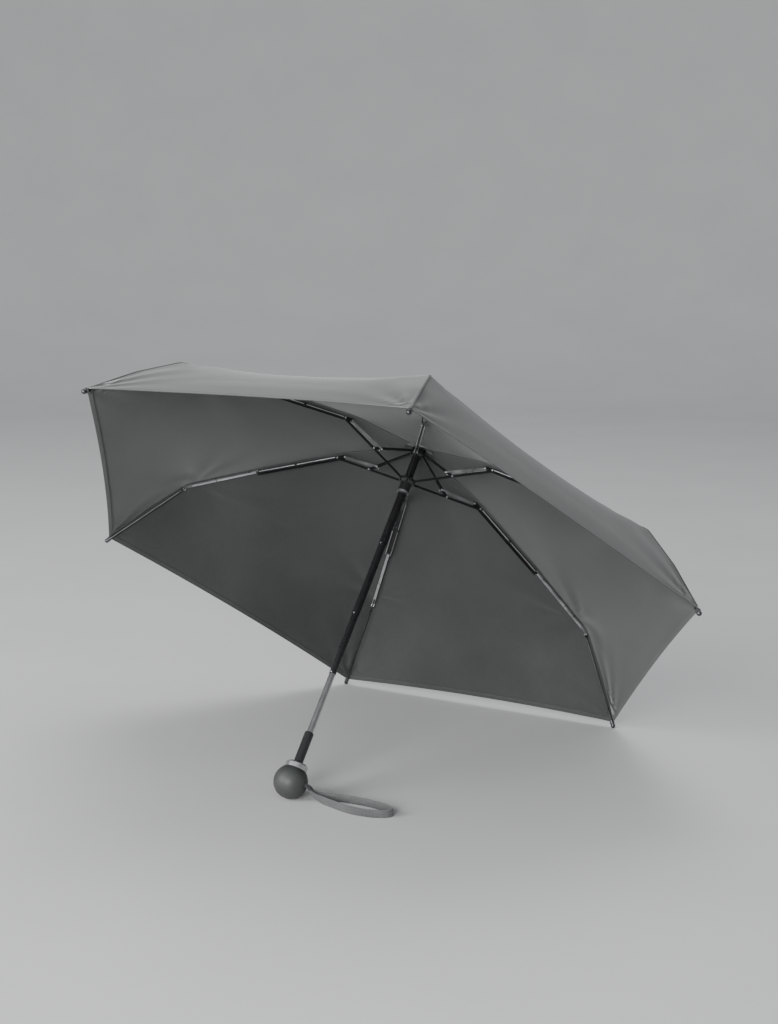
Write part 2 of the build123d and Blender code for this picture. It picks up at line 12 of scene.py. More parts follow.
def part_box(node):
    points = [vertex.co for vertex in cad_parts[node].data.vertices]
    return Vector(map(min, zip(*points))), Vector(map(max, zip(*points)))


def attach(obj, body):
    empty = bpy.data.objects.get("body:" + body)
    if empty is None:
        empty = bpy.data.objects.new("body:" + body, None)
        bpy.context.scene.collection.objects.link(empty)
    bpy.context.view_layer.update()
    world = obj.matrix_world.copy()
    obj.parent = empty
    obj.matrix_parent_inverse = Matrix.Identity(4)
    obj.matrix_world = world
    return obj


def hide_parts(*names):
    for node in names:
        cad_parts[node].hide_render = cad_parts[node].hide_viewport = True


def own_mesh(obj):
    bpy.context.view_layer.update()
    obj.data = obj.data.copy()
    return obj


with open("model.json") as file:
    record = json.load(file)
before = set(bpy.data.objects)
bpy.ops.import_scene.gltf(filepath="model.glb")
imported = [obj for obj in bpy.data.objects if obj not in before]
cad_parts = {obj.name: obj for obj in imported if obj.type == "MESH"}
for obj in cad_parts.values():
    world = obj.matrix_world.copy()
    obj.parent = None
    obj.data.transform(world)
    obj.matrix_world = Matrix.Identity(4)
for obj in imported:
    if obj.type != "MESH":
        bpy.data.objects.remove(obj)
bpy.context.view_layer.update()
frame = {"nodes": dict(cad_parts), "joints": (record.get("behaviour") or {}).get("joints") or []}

# Camera, in metres: it stands to the right of the handle, a little above the umbrella's middle
CAMERA_AT = Vector((1.0607, -1.7691, 0.6625))
CAMERA_TARGET = Vector((-0.0333, 0.1016, 0.3172))
CAMERA_ROLL = math.radians(0.4414)
CAMERA_LENS = 56.087

# Stage
FLOOR_REACH, FLOOR_BEND, WALL_TOP = 5.0, 2.5, 6.0

# The shaft's frame, from the joints
JOINTS = {joint["name"]: joint for joint in frame["joints"]}
RIB_NAMES = ("a", "b", "c", "d", "e", "f")


def joint_place(name):
    return np.array(JOINTS[name]["pos_m"], float)


DOWN = np.array(JOINTS["runner_slide"]["axis"], float)
DOWN /= np.linalg.norm(DOWN)
HUB = np.mean([joint_place(f"top_rib_{letter}_fold") for letter in RIB_NAMES], axis=0)
HALF_GORE = math.pi / len(RIB_NAMES)

# Cloth: its underside over a rib, as (radius, depth), and how it hangs between the ribs
CLOTH_OVER_RIB = (
    (0.0, -0.0074),
    (0.014, -0.0069),
    (0.112, 0.0076),
    (0.243, 0.0456),
    (0.357, 0.0842),
    (0.404, 0.1305),
    (0.449, 0.185),
)
CLOTH_HOLE, CLOTH_EDGE = 0.0068, 0.449
HEM_BOW = 0.0035
SAG_MOST, SAG_FROM, SAG_AT, SAG_AT_HEM = 0.0050, 0.05, 0.33, 0.1
RIDGE_ROUND, GORE_ROUND = 0.004, 0.045
TIP_FOLD, TIP_FOLD_REACH, TIP_FOLD_WAVES = 0.0036, 0.055, 13
KNEE_FOLD, KNEE_FOLD_REACH = 0.0034, 0.06
SLACK = 0.0012
ACROSS_STEPS = 20
HEM_WIDE, HEM_THICK, SEAM_WIDE, SEAM_THICK = 0.0038, 0.0007, 0.0032, 0.0006
STITCH_LONG, STITCH_PITCH, STITCH_R = 0.0019, 0.0029, 0.00017

# Ribs: where the pins stand that the joints don't give, and how far their heads are from the rib's plane
STRETCHER_OUTER, LINK_BACK, LINK_DROP = 0.0575, 0.012335, 0.0013
TOP_RIB_HALF, LINK_HALF, SECOND_RIB_HALF, THIRD_RIB_HALF = 0.00155, 0.0022, 0.0029, 0.0018
RIVET_R, RIVET_HIGH = 0.0015, 0.0005
TIP, TIP_CAP_R = (0.45, 0.1904), 0.0028
ROSETTE_HOLE, ROSETTE_REACH, ROSETTE_DEPTH = 0.0034, 0.0205, -0.0066

# Strap: routes as (x, y from the ball, z); the webbing stands on its edge and is gathered at both ends
BALL_R, CORD_R, WEBBING_WIDE, WEBBING_THICK = 0.0215, 0.0013, 0.010, 0.0012
GATHERED, GATHER_LONG, WRAP_FROM, WRAP_TO = 0.36, 0.03, 0.0205, 0.0275
CORD_ROUTE = [
    (0.0155, 0.0000, 0.0215), (0.0233, 0.0003, 0.0211), (0.0274, 0.0032, 0.0160), (0.0298, 0.0060, 0.0102),
    (0.0344, 0.0068, 0.0062),
]
STRAP_ROUTE = [
    (0.0245, 0.0012, 0.0172), (0.0300, 0.0026, 0.0098), (0.0460, 0.0012, 0.0053), (0.0660, -0.0046, 0.0052),
    (0.0920, -0.0114, 0.0052), (0.1170, -0.0096, 0.0052), (0.1360, -0.0020, 0.0052), (0.1424, 0.0088, 0.0052),
    (0.1340, 0.0176, 0.0052), (0.1120, 0.0216, 0.0052), (0.0860, 0.0230, 0.0052), (0.0620, 0.0202, 0.0052),
    (0.0440, 0.0140, 0.0053), (0.0312, 0.0084, 0.0098), (0.0254, 0.0040, 0.0168),
]


def unit(v):
    return v / np.linalg.norm(v)


def rib_out(letter):
    """The direction from the shaft along a rib, across the shaft."""
    out = joint_place(f"top_rib_{letter}_fold") - HUB
    return unit(out - DOWN * (out @ DOWN))


def pivot_radius(joint):
    """How far a rib joint stands from the shaft's axis."""
    out = joint_place(joint) - HUB
    return float(np.linalg.norm(out - DOWN * (out @ DOWN)))


# The cloth is cut at the rib joints: (part, from radius, to radius, body it rides on, steps along it)
CUTS = [CLOTH_HOLE] + [pivot_radius(f"{part}_rib_a_fold") for part in ("second", "third", "outer")] + [CLOTH_EDGE]
PANELS = [
    ("hub", CUTS[0], CUTS[1], None, 16),
    ("second", CUTS[1], CUTS[2], "second_rib", 16),
    ("third", CUTS[2], CUTS[3], "third_rib", 16),
    ("outer", CUTS[3], CUTS[4], "outer_rib", 24),
]


def smooth_step(low, high, x):
    t = np.clip((x - low) / (high - low), 0, 1)
    return t * t * (3 - 2 * t)


def cloth_depth(radius, rounding):
    """The depth of the cloth at a rib's radius, averaged over a stretch so that its bends are round."""
    radii, depths = zip(*CLOTH_OVER_RIB)
    room = np.minimum(rounding, np.minimum(radius - radii[0], radii[-1] - radius))
    offsets = np.linspace(-1, 1, 17)
    return np.mean([np.interp(radius + room * offset, radii, depths) for offset in offsets], axis=0)


def gore_axes(number):
    """The middle direction of the gore after a rib, and the direction from that rib's side to the next."""
    first, second = rib_out(RIB_NAMES[number]), rib_out(RIB_NAMES[(number + 1) % len(RIB_NAMES)])
    return unit(first + second), unit(second - first)


# Per step in radius near the hem, how far the cloth runs along its middle line
HEM_RUN = math.hypot(math.cos(HALF_GORE), (0.185 - 0.1305) / (0.449 - 0.404))


def tip_folds(number, tip, radius, across):
    """Folds that fan out from a rib tip, deepest beside the rib."""
    beside = math.sin(HALF_GORE) * (CLOTH_EDGE - radius * np.clip(tip * across, -1, 1))
    back = HEM_RUN * (CLOTH_EDGE - radius)
    away = np.hypot(beside, back) + 1e-6
    turn = np.arctan2(beside, back) - math.atan2(math.sin(HALF_GORE), HEM_RUN)
    fade = np.exp(-away / TIP_FOLD_REACH - 1.4 * np.clip(turn, 0, 2)) * smooth_step(0.002, 0.03, away)
    waves = TIP_FOLD_WAVES + 2.5 * math.sin(2.1 * number + tip)
    return TIP_FOLD * fade * np.sin(waves * turn)


def knee_folds(number, tip, radius, across):
    """Long soft folds that leave the outer rib joint across the gore."""
    beside = radius * math.sin(HALF_GORE) * (1 - tip * across)
    back = radius - SAG_AT - 0.01
    away = np.hypot(beside, back) + 1e-6
    turn = np.arctan2(back, beside)
    fade = np.exp(-away / KNEE_FOLD_REACH) * np.cos(turn) ** 2 * smooth_step(0.004, 0.05, beside)
    return KNEE_FOLD * fade * np.sin(6 * turn + 1.3 * number + tip)


def gore_surface(number, share, across):
    """Places on a gore: share 0 to 1 is a rib's radius from CLOTH_HOLE to the hem, and across -1 to 1 rib to rib."""
    middle, side = gore_axes(number)
    bulge = 1 - across**2
    radius = CLOTH_HOLE + share * (CLOTH_EDGE - CLOTH_HOLE)
    radius = radius - HEM_BOW * bulge * smooth_step(0.75, 1, share)
    depth = cloth_depth(radius, RIDGE_ROUND + (GORE_ROUND - RIDGE_ROUND) * bulge)
    slope = np.arctan2(
        cloth_depth(radius + 0.002, GORE_ROUND) - cloth_depth(radius - 0.002, GORE_ROUND), 0.004 * math.cos(HALF_GORE)
    )
    sag = SAG_MOST * smooth_step(SAG_FROM, SAG_AT, radius)
    sag = sag * (1 - (1 - SAG_AT_HEM) * smooth_step(SAG_AT, CLOTH_EDGE, radius)) * bulge
    sag = sag + SLACK * bulge * np.sin(9 * radius + 1.1 * across + 1.7 * number) * smooth_step(0.03, 0.2, radius)
    for tip in (-1, 1):
        sag = sag + tip_folds(number, tip, radius, across) + knee_folds(number, tip, radius, across)
    x = radius * math.cos(HALF_GORE) - sag * np.sin(slope)
    y = radius * math.sin(HALF_GORE) * across
    d = depth + sag * np.cos(slope)
    return HUB + x[..., None] * middle + y[..., None] * side + d[..., None] * DOWN


def gore_normal(number, share, across):
    """The outward direction of a gore's surface."""
    step = 1e-4
    along = gore_surface(number, share + step, across) - gore_surface(number, share - step, across)
    over = gore_surface(number, share, across + step) - gore_surface(number, share, across - step)
    normal = np.cross(along, over)
    normal /= np.linalg.norm(normal, axis=-1, keepdims=True)
    return normal * np.sign(-(normal @ DOWN))[..., None]


def new_object(name, mesh):
    thing = bpy.data.objects.new(name, mesh)
    bpy.context.scene.collection.objects.link(thing)
    return thing


def mesh_object(name, points, faces, smooth=True):
    mesh = bpy.data.meshes.new(name)
    mesh.from_pydata([tuple(p) for p in points], [], faces)
    mesh.validate()
    mesh.polygons.foreach_set("use_smooth", [smooth] * len(mesh.polygons))
    mesh.update()
    return new_object(name, mesh)


def grid_faces(rows, columns, flip=False):
    faces = []
    for i in range(rows - 1):
        for j in range(columns - 1):
            corner = i * columns + j
            face = (corner, corner + 1, corner + columns + 1, corner + columns)
            faces.append(face[::-1] if flip else face)
    return faces


def share_of(radius):
    return (radius - CLOTH_HOLE) / (CLOTH_EDGE - CLOTH_HOLE)


def write_uv(thing, across, along):
    """Lays a real-size map in metres on a grid piece, for its weave."""
    layer = thing.data.uv_layers.new(name="weave")
    for loop in thing.data.loops:
        layer.data[loop.index].uv = (across[loop.vertex_index], along[loop.vertex_index])


# Materials


def node_tree(name):
    material = bpy.data.materials.new(name)
    material.use_nodes = True
    nodes, links = material.node_tree.nodes, material.node_tree.links
    return material, nodes, links, nodes["Principled BSDF"]


def noise(nodes, links, scale, detail=3.0, stretch=(1, 1, 1), source="Object"):
    """A noise texture on object coordinates, in metres."""
    place = nodes.new("ShaderNodeTexCoord")
    mapping = nodes.new("ShaderNodeMapping")
    mapping.inputs["Scale"].default_value = stretch
    texture = nodes.new("ShaderNodeTexNoise")
    texture.inputs["Scale"].default_value = scale
    texture.inputs["Detail"].default_value = detail
    links.new(place.outputs[source], mapping.inputs["Vector"])
    links.new(mapping.outputs["Vector"], texture.inputs["Vector"])
    return texture


def ramp(nodes, links, source, low, high, at=(0.3, 0.7)):
    """A colour or grey level that follows a texture between two values."""
    picker = nodes.new("ShaderNodeValToRGB")
    for element, level, position in zip(picker.color_ramp.elements, (low, high), at):
        element.color = (*level, 1) if hasattr(level, "__len__") else (level, level, level, 1)
        element.position = position
    links.new(source, picker.inputs["Fac"])
    return picker.outputs["Color"]


def bump(nodes, links, shader, height, strength, distance):
    node = nodes.new("ShaderNodeBump")
    node.inputs["Strength"].default_value = strength
    node.inputs["Distance"].default_value = distance
    links.new(height, node.inputs["Height"])
    links.new(node.outputs["Normal"], shader.inputs["Normal"])
    return node


def woven(name, dark, light, thread, roughness=0.75, sheen=0.35):
    """A plain weave on the piece's own map, as threads of uneven height, with colour that varies a little."""
    material, nodes, links, shader = node_tree(name)
    warp = noise(nodes, links, 0.5 / thread, 1, (1, 0.08, 1), "UV")
    weft = noise(nodes, links, 0.5 / thread, 1, (0.08, 1, 1), "UV")
    cross = nodes.new("ShaderNodeMath")
    cross.operation = "MULTIPLY"
    links.new(warp.outputs["Fac"], cross.inputs[0])
    links.new(weft.outputs["Fac"], cross.inputs[1])
    cloudy = noise(nodes, links, 7, 4)
    mixed = nodes.new("ShaderNodeMath")
    mixed.operation = "MULTIPLY_ADD"
    mixed.inputs[1].default_value = 0.7
    links.new(cross.outputs[0], mixed.inputs[0])
    links.new(cloudy.outputs["Fac"], mixed.inputs[2])
    links.new(ramp(nodes, links, mixed.outputs[0], dark, light, (0.45, 0.9)), shader.inputs["Base Color"])
    bump(nodes, links, shader, cross.outputs[0], 0.3, 0.00015)
    shader.inputs["Roughness"].default_value = roughness
    shader.inputs["Sheen Weight"].default_value = sheen
    shader.inputs["Sheen Roughness"].default_value = 0.45
    shader.inputs["Specular IOR Level"].default_value = 0.3
    return material


def enamel(name, colour, roughness, speckle=0.05, coat=0.0):
    """Painted metal: slightly uneven gloss and faint orange peel."""
    material, nodes, links, shader = node_tree(name)
    shader.inputs["Base Color"].default_value = (*colour, 1)
    uneven = noise(nodes, links, 90, 4)
    links.new(
        ramp(nodes, links, uneven.outputs["Fac"], max(roughness - speckle, 0.05), roughness + speckle),
        shader.inputs["Roughness"],
    )
    peel = noise(nodes, links, 700, 2)
    bump(nodes, links, shader, peel.outputs["Fac"], 0.05, 0.00002)
    shader.inputs["Coat Weight"].default_value = coat
    return material


def bare_metal(name, dark, light, roughness, stretch=(1, 1, 1)):
    """Plated or brushed metal: brightness and gloss that vary along faint streaks."""
    material, nodes, links, shader = node_tree(name)
    shader.inputs["Metallic"].default_value = 1.0
    streaks = noise(nodes, links, 60, 4, stretch)
    links.new(ramp(nodes, links, streaks.outputs["Fac"], dark, light), shader.inputs["Base Color"])
    links.new(
        ramp(nodes, links, streaks.outputs["Fac"], roughness * 0.7, roughness * 1.4), shader.inputs["Roughness"]
    )
    bump(nodes, links, shader, streaks.outputs["Fac"], 0.04, 0.00002)
    return material


def moulded(name, dark, light, roughness, grain, strength):
    """Moulded plastic or rubber: a fine grain and a little dust in its colour."""
    material, nodes, links, shader = node_tree(name)
    dusty = noise(nodes, links, 45, 6)
    links.new(ramp(nodes, links, dusty.outputs["Fac"], dark, light), shader.inputs["Base Color"])
    texture = noise(nodes, links, grain, 3)
    bump(nodes, links, shader, texture.outputs["Fac"], strength, 0.0002)
    links.new(
        ramp(nodes, links, texture.outputs["Fac"], roughness - 0.08, roughness + 0.08), shader.inputs["Roughness"]
    )
    return material


CLOTH = woven("canopy_cloth", (0.030, 0.033, 0.032), (0.046, 0.050, 0.048), 0.00045)
HEM_CLOTH = woven("canopy_hem", (0.034, 0.037, 0.036), (0.052, 0.056, 0.054), 0.00045)
THREAD = woven("sewing_thread", (0.05, 0.054, 0.052), (0.08, 0.085, 0.082), 0.0003, 0.6, 0.2)
WEBBING = woven("strap_webbing", (0.05, 0.053, 0.053), (0.15, 0.155, 0.155), 0.0008, 0.8, 0.3)
DARK_CORD = woven("strap_cord", (0.02, 0.021, 0.021), (0.045, 0.047, 0.047), 0.0006, 0.8, 0.3)
SHAFT_BLACK = enamel("shaft_black", (0.010, 0.010, 0.011), 0.3)
SHAFT_DARK = bare_metal("shaft_dark_chrome", (0.30, 0.30, 0.31), (0.40, 0.40, 0.41), 0.18)
SLEEVE_GLOSS = enamel("sleeve_gloss", (0.016, 0.016, 0.017), 0.16)
RIB_BLACK = enamel("rib_black", (0.010, 0.010, 0.011), 0.36)
BRIGHT = bare_metal("bright_steel", (0.74, 0.75, 0.76), (0.84, 0.85, 0.86), 0.36)
RIB_OUTER = bare_metal("rib_outer", (0.05, 0.05, 0.053), (0.11, 0.11, 0.115), 0.32)
PLASTIC = moulded("black_plastic", (0.011, 0.011, 0.012), (0.02, 0.02, 0.021), 0.42, 2200, 0.15)
RUBBER = moulded("ball_rubber", (0.040, 0.044, 0.042), (0.052, 0.057, 0.054), 0.5, 1600, 0.15)
COLLAR = bare_metal("bright_collar", (0.5, 0.51, 0.52), (0.66, 0.67, 0.68), 0.3)

NODE_MATERIALS = {
    "tube_1": SHAFT_BLACK, "tube_2": SHAFT_BLACK, "tube_3": SHAFT_BLACK, "tube_4": SHAFT_DARK,
    "notch": PLASTIC, "notch_ring": BRIGHT, "runner": PLASTIC, "runner_rings": BRIGHT,
    "runner_button": PLASTIC, "top_cap": PLASTIC, "hub_rosette": CLOTH, "canopy": CLOTH,
    "handle_ball": RUBBER, "handle_sleeve": SLEEVE_GLOSS, "handle_collar": COLLAR,
    "strap_cord": DARK_CORD, "strap": WEBBING,
}
for letter in RIB_NAMES:
    NODE_MATERIALS |= {
        f"top_rib_{letter}": RIB_BLACK, f"stretcher_{letter}": RIB_BLACK, f"second_rib_{letter}": RIB_BLACK,
        f"link_{letter}": BRIGHT, f"third_rib_{letter}": BRIGHT, f"spring_wire_{letter}": BRIGHT,
        f"outer_rib_{letter}": RIB_OUTER,
    }


def paint(thing, material):
    thing.data.materials.clear()
    thing.data.materials.append(material)


for node, material in NODE_MATERIALS.items():
    paint(frame["nodes"][node], material)


# Stage


def camera():
    data = bpy.data.cameras.new("camera")
    data.lens = CAMERA_LENS
    thing = new_object("camera", data)
    thing.location = CAMERA_AT
    facing = (CAMERA_TARGET - CAMERA_AT).to_track_quat("-Z", "Y")
    thing.rotation_mode = "QUATERNION"
    thing.rotation_quaternion = facing @ Quaternion((0, 0, 1), CAMERA_ROLL)
    bpy.context.scene.camera = thing


def soft_light(name, place, size, power, aim):
    data = bpy.data.lights.new(name, "AREA")
    data.shape = "DISK"
    data.size = size
    data.energy = power
    thing = new_object(name, data)
    thing.location = place
    thing.rotation_mode = "QUATERNION"
    thing.rotation_quaternion = (Vector(aim) - Vector(place)).to_track_quat("-Z", "Y")


def stage():
    """A pale floor that turns up into a round wall, and soft light from the front, the left and above."""
    profile = [(FLOOR_REACH * share, 0.0) for share in (0.2, 0.4, 0.6, 0.8, 1.0)]
    for step in range(1, 13):
        turn = math.radians(7.5 * step)
        profile.append((FLOOR_REACH + FLOOR_BEND * math.sin(turn), FLOOR_BEND * (1 - math.cos(turn))))
    profile.append((profile[-1][0], WALL_TOP))
    sides = 96
    turns = [2 * math.pi * k / sides for k in range(sides)]
    points = [(r * math.cos(t), r * math.sin(t), z) for r, z in profile for t in turns]
    faces = [tuple(range(sides))]
    for row in range(len(profile) - 1):
        for k in range(sides):
            a, b = row * sides + k, row * sides + (k + 1) % sides
            faces.append((a, a + sides, b + sides, b))
    floor = mesh_object("floor", points, faces)
    material, nodes, links, shader = node_tree("floor_pale")
    faint = noise(nodes, links, 3, 4)
    tone = ramp(nodes, links, faint.outputs["Fac"], (0.60, 0.60, 0.60), (0.63, 0.63, 0.63))
    links.new(tone, shader.inputs["Base Color"])
    shader.inputs["Roughness"].default_value = 0.85
    paint(floor, material)
    world = bpy.data.worlds.new("studio")
    bpy.context.scene.world = world
    world.use_nodes = True
    world.node_tree.nodes["Background"].inputs["Color"].default_value = (0.95, 0.97, 1.0, 1)
    world.node_tree.nodes["Background"].inputs["Strength"].default_value = 0.6
    soft_light("key", (-2.2, -3.2, 1.6), 2.2, 120, (0, 0.1, 0.2))
    soft_light("front", (0.7, -3.6, 1.0), 1.8, 130, (0, 0.1, 0.25))
    soft_light("top", (-0.6, 1.0, 3.6), 2.4, 40, (0, 0.1, 0.3))


# Cloth


def fold_with(thing, number, tip, panel):
    """A piece of a half gore rides on its rib member, and at the hub on the canopy's top; the piece gets its own copy
    of its mesh.
    """
    part, low, high, member, _ = panel
    letter = RIB_NAMES[number] if tip < 0 else RIB_NAMES[(number + 1) % len(RIB_NAMES)]
    if member is None:
        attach(thing, "canopy_top")
        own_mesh(thing)
    else:
        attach(thing, f"{member}_{letter}")
        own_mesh(thing)
    return letter


def half_panel(number, tip, panel):
    """One panel of cloth: half a gore wide, between two rib joints."""
    part, low, high, member, steps = panel
    share, half = np.meshgrid(
        share_of(np.linspace(low, high, steps + 1)), np.linspace(0, 1, ACROSS_STEPS + 1) ** 1.15, indexing="ij"
    )
    across = tip * (1 - half)
    points = gore_surface(number, share, across).reshape(-1, 3)
    normals = gore_normal(number, share, across).reshape(-1, 3)
    letter = RIB_NAMES[number] if tip < 0 else RIB_NAMES[(number + 1) % len(RIB_NAMES)]
    hand = "left" if tip > 0 else "right"
    thing = mesh_object(f"cloth_{part}_{letter}_{hand}", points, grid_faces(*share.shape, flip=tip < 0))
    thing.data.normals_split_custom_set_from_vertices([tuple(n) for n in normals])
    radius = (CLOTH_HOLE + share * (CLOTH_EDGE - CLOTH_HOLE)).ravel()
    write_uv(thing, radius * math.sin(HALF_GORE) * across.ravel(), radius * 1.1)
    paint(thing, CLOTH)
    fold_with(thing, number, tip, panel)
    if part == "hub":
        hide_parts("canopy")
    return thing


def ribbon(name, rows, normals, thickness, material):
    """A closed strip on rows of places, with its thickness along their normals."""
    count, columns = rows.shape[:2]
    upper = rows.reshape(-1, 3)
    lower = (rows - normals * thickness).reshape(-1, 3)
    points = np.concatenate([upper, lower])
    faces = grid_faces(count, columns) + [tuple(i + len(upper) for i in f[::-1]) for f in grid_faces(count, columns)]
    rim = [j for j in range(columns)] + [i * columns + columns - 1 for i in range(1, count)]
    rim += [(count - 1) * columns + j for j in range(columns - 2, -1, -1)] + [i * columns for i in range(count - 2, 0, -1)]
    for here, after in zip(rim, rim[1:] + rim[:1]):
        faces.append((here, here + len(upper), after + len(upper), after))
    thing = mesh_object(name, points, faces)
    repair = bmesh.new()
    repair.from_mesh(thing.data)
    bmesh.ops.recalc_face_normals(repair, faces=repair.faces)
    repair.to_mesh(thing.data)
    repair.free()
    thing.data.set_sharp_from_angle(angle=0.7)
    paint(thing, material)
    return thing


def stitches(name, places, directions, normals):
    """Short rounded stitches at places, each laid along its direction."""
    points, faces = [], []
    sides = 6
    for place, along, up in zip(places, directions, normals):
        over = np.cross(along, up)
        start = len(points)
        for offset, radius in ((-0.5, 0.3), (-0.3, 1), (0.3, 1), (0.5, 0.3)):
            for k in range(sides):
                turn = 2 * math.pi * k / sides
                ring = (up * math.sin(turn) + over * math.cos(turn)) * STITCH_R * radius
                points.append(place + along * STITCH_LONG * offset + ring)
        for row in range(3):
            for k in range(sides):
                a = start + row * sides + k
                b = start + row * sides + (k + 1) % sides
                faces.append((a, b, b + sides, a + sides))
        faces.append(tuple(start + k for k in range(sides))[::-1])
        faces.append(tuple(start + 3 * sides + k for k in range(sides)))
    thing = mesh_object(name, points, faces)
    paint(thing, THREAD)
    return thing


def hem(number, tip, panel):
    """The turned-up edge of half a gore, inside the cloth, and its line of stitches."""
    letter = RIB_NAMES[number] if tip < 0 else RIB_NAMES[(number + 1) % len(RIB_NAMES)]
    hand = "left" if tip > 0 else "right"
    share = share_of(np.linspace(CLOTH_EDGE - HEM_WIDE, CLOTH_EDGE, 4))
    half = np.linspace(0.012, 1, 46)
    grid_share, grid_half = np.meshgrid(share, half, indexing="ij")
    across = tip * (1 - grid_half)
    normals = gore_normal(number, grid_share, across)
    rows = gore_surface(number, grid_share, across) - normals * 0.0001
    edge = ribbon(f"hem_{letter}_{hand}", rows, normals, HEM_THICK, HEM_CLOTH)
    write_uv(edge, np.tile(across.ravel() * 0.22, 2), np.tile(grid_share.ravel() * 0.45, 2))
    fold_with(edge, number, tip, panel)
    line_share = share_of(CLOTH_EDGE - 0.8 * HEM_WIDE)
    length = CLOTH_EDGE * math.sin(HALF_GORE)
    halves = np.arange(0.02, 0.995, STITCH_PITCH / length)
    line_across = tip * (1 - halves)
    line_normals = gore_normal(number, np.full_like(halves, line_share), line_across)
    places = gore_surface(number, np.full_like(halves, line_share), line_across)
    _, side = gore_axes(number)
    for surface, lift in (("in", -HEM_THICK), ("out", 0.00005)):
        lifted = places + line_normals * lift
        row = stitches(f"hem_stitches_{surface}_{letter}_{hand}", lifted, [side] * len(halves), line_normals)
        fold_with(row, number, tip, panel)


def seam(letter, panel):
    """The sewn ridge along a rib line and its stitches, on one member."""
    part, low, high, member, _ = panel
    number = RIB_NAMES.index(letter)
    steps = 28
    low = low + (0.004 if part == "hub" else 0)
    high = high - (0.003 if part == "outer" else 0)
    share = share_of(np.linspace(low, high, steps))
    ridge = gore_surface(number, share, np.full(steps, -1.0))
    outward = unit(rib_out(letter) * 0.3 - DOWN)
    over = np.cross(rib_out(letter), -DOWN)
    along = np.gradient(ridge, axis=0)
    along /= np.linalg.norm(along, axis=1, keepdims=True)
    lift = np.cross(over, along)
    lift *= np.sign(lift @ outward)[:, None]
    width = np.linspace(-0.5, 0.5, 5)
    crown = 1 - (2 * width) ** 2
    for surface, sign in (("out", 1), ("in", -1)):
        rows = ridge[:, None] + over * width[None, :, None] * SEAM_WIDE * sign
        height = (0.0002 + SEAM_THICK * 0.6 * crown)[None, :, None] if sign > 0 else -0.0002
        slant = -abs(width)[None, :, None] * SEAM_WIDE * 0.12
        rows = rows + lift[:, None] * (height + slant)
        normals = np.repeat(lift[:, None], 5, axis=1)
        strip = ribbon(f"seam_{surface}_{part}_{letter}", rows, normals, SEAM_THICK, HEM_CLOTH)
        write_uv(strip, np.tile((width * SEAM_WIDE)[None], (2 * steps, 1)).ravel(), np.tile(np.repeat(share, 5) * 0.45, 2))
        carry_seam(strip, letter, part, member)
    length = high - low
    count = int(length / STITCH_PITCH)
    fractions = (np.arange(count) + 0.5) / count
    places = np.stack([np.interp(fractions, np.linspace(0, 1, steps), ridge[:, k]) for k in range(3)], axis=1)
    ways = np.stack([np.interp(fractions, np.linspace(0, 1, steps), along[:, k]) for k in range(3)], axis=1)
    lifts = np.stack([np.interp(fractions, np.linspace(0, 1, steps), lift[:, k]) for k in range(3)], axis=1)
    row = stitches(f"seam_stitches_{part}_{letter}", places + lifts * (0.0002 + SEAM_THICK * 0.6), ways, lifts)
    carry_seam(row, letter, part, member)


def carry_seam(thing, letter, part, member):
    if member is None:
        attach(thing, "canopy_top")
        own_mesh(thing)
    else:
        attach(thing, f"{member}_{letter}")


def canopy():
    for number in range(len(RIB_NAMES)):
        for tip in (-1, 1):
            for panel in PANELS:
                half_panel(number, tip, panel)
            hem(number, tip, PANELS[-1])
    for letter in RIB_NAMES:
        for panel in PANELS:
            seam(letter, panel)


# Threads, rivets and the small cloth disc


def tube_along(name, path, radius, material, sides=10, closed=False):
    """A round tube on a path of places; radius is one value or one for each place."""
    path = np.asarray(path, float)
    count = len(path)
    radii = np.broadcast_to(radius, count)
    if closed:
        ways = np.roll(path, -1, axis=0) - np.roll(path, 1, axis=0)
    else:
        ways = np.gradient(path, axis=0)
    ways /= np.linalg.norm(ways, axis=1, keepdims=True)
    first = np.cross(ways[0], (0.31, 0.77, 0.56))
    points = []
    for place, way, r in zip(path, ways, radii):
        first = unit(first - way * (first @ way))
        second = np.cross(way, first)
        for k in range(sides):
            turn = 2 * math.pi * k / sides
            points.append(place + (first * math.cos(turn) + second * math.sin(turn)) * r)
    rows = count if closed else count - 1
    faces = []
    for row in range(rows):
        for k in range(sides):
            a, b = row * sides + k, row * sides + (k + 1) % sides
            c, d = (b + sides) % len(points), (a + sides) % len(points)
            faces.append((a, b, c, d))
    if not closed:
        faces.append(tuple(range(sides))[::-1])
        faces.append(tuple((count - 1) * sides + k for k in range(sides)))
    thing = mesh_object(name, points, faces)
    thing.data.set_sharp_from_angle(angle=1.0)
    paint(thing, material)
    return thing


def dome(name, base, out, radius, height, material, body):
    """A domed rivet head on a base, standing out along a direction."""
    first = unit(np.cross(out, DOWN + 0.1 * out))
    second = np.cross(out, first)
    sides = 16
    points = []
    rings = [(1.0, 0.0), (1.0, 0.35), (0.82, 0.75), (0.45, 0.97)]
    for wide, high in rings:
        for k in range(sides):
            turn = 2 * math.pi * k / sides
            ring = (first * math.cos(turn) + second * math.sin(turn)) * radius * wide
            points.append(base + ring + out * height * high)
    points.append(base + out * height)
    faces = []
    for row in range(len(rings) - 1):
        for k in range(sides):
            a, b = row * sides + k, row * sides + (k + 1) % sides
            faces.append((a, b, b + sides, a + sides))
    last = (len(rings) - 1) * sides
    for k in range(sides):
        faces.append((last + k, last + (k + 1) % sides, len(points) - 1))
    faces.append(tuple(range(sides))[::-1])
    thing = mesh_object(name, points, faces)
    paint(thing, material)
    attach(thing, body)


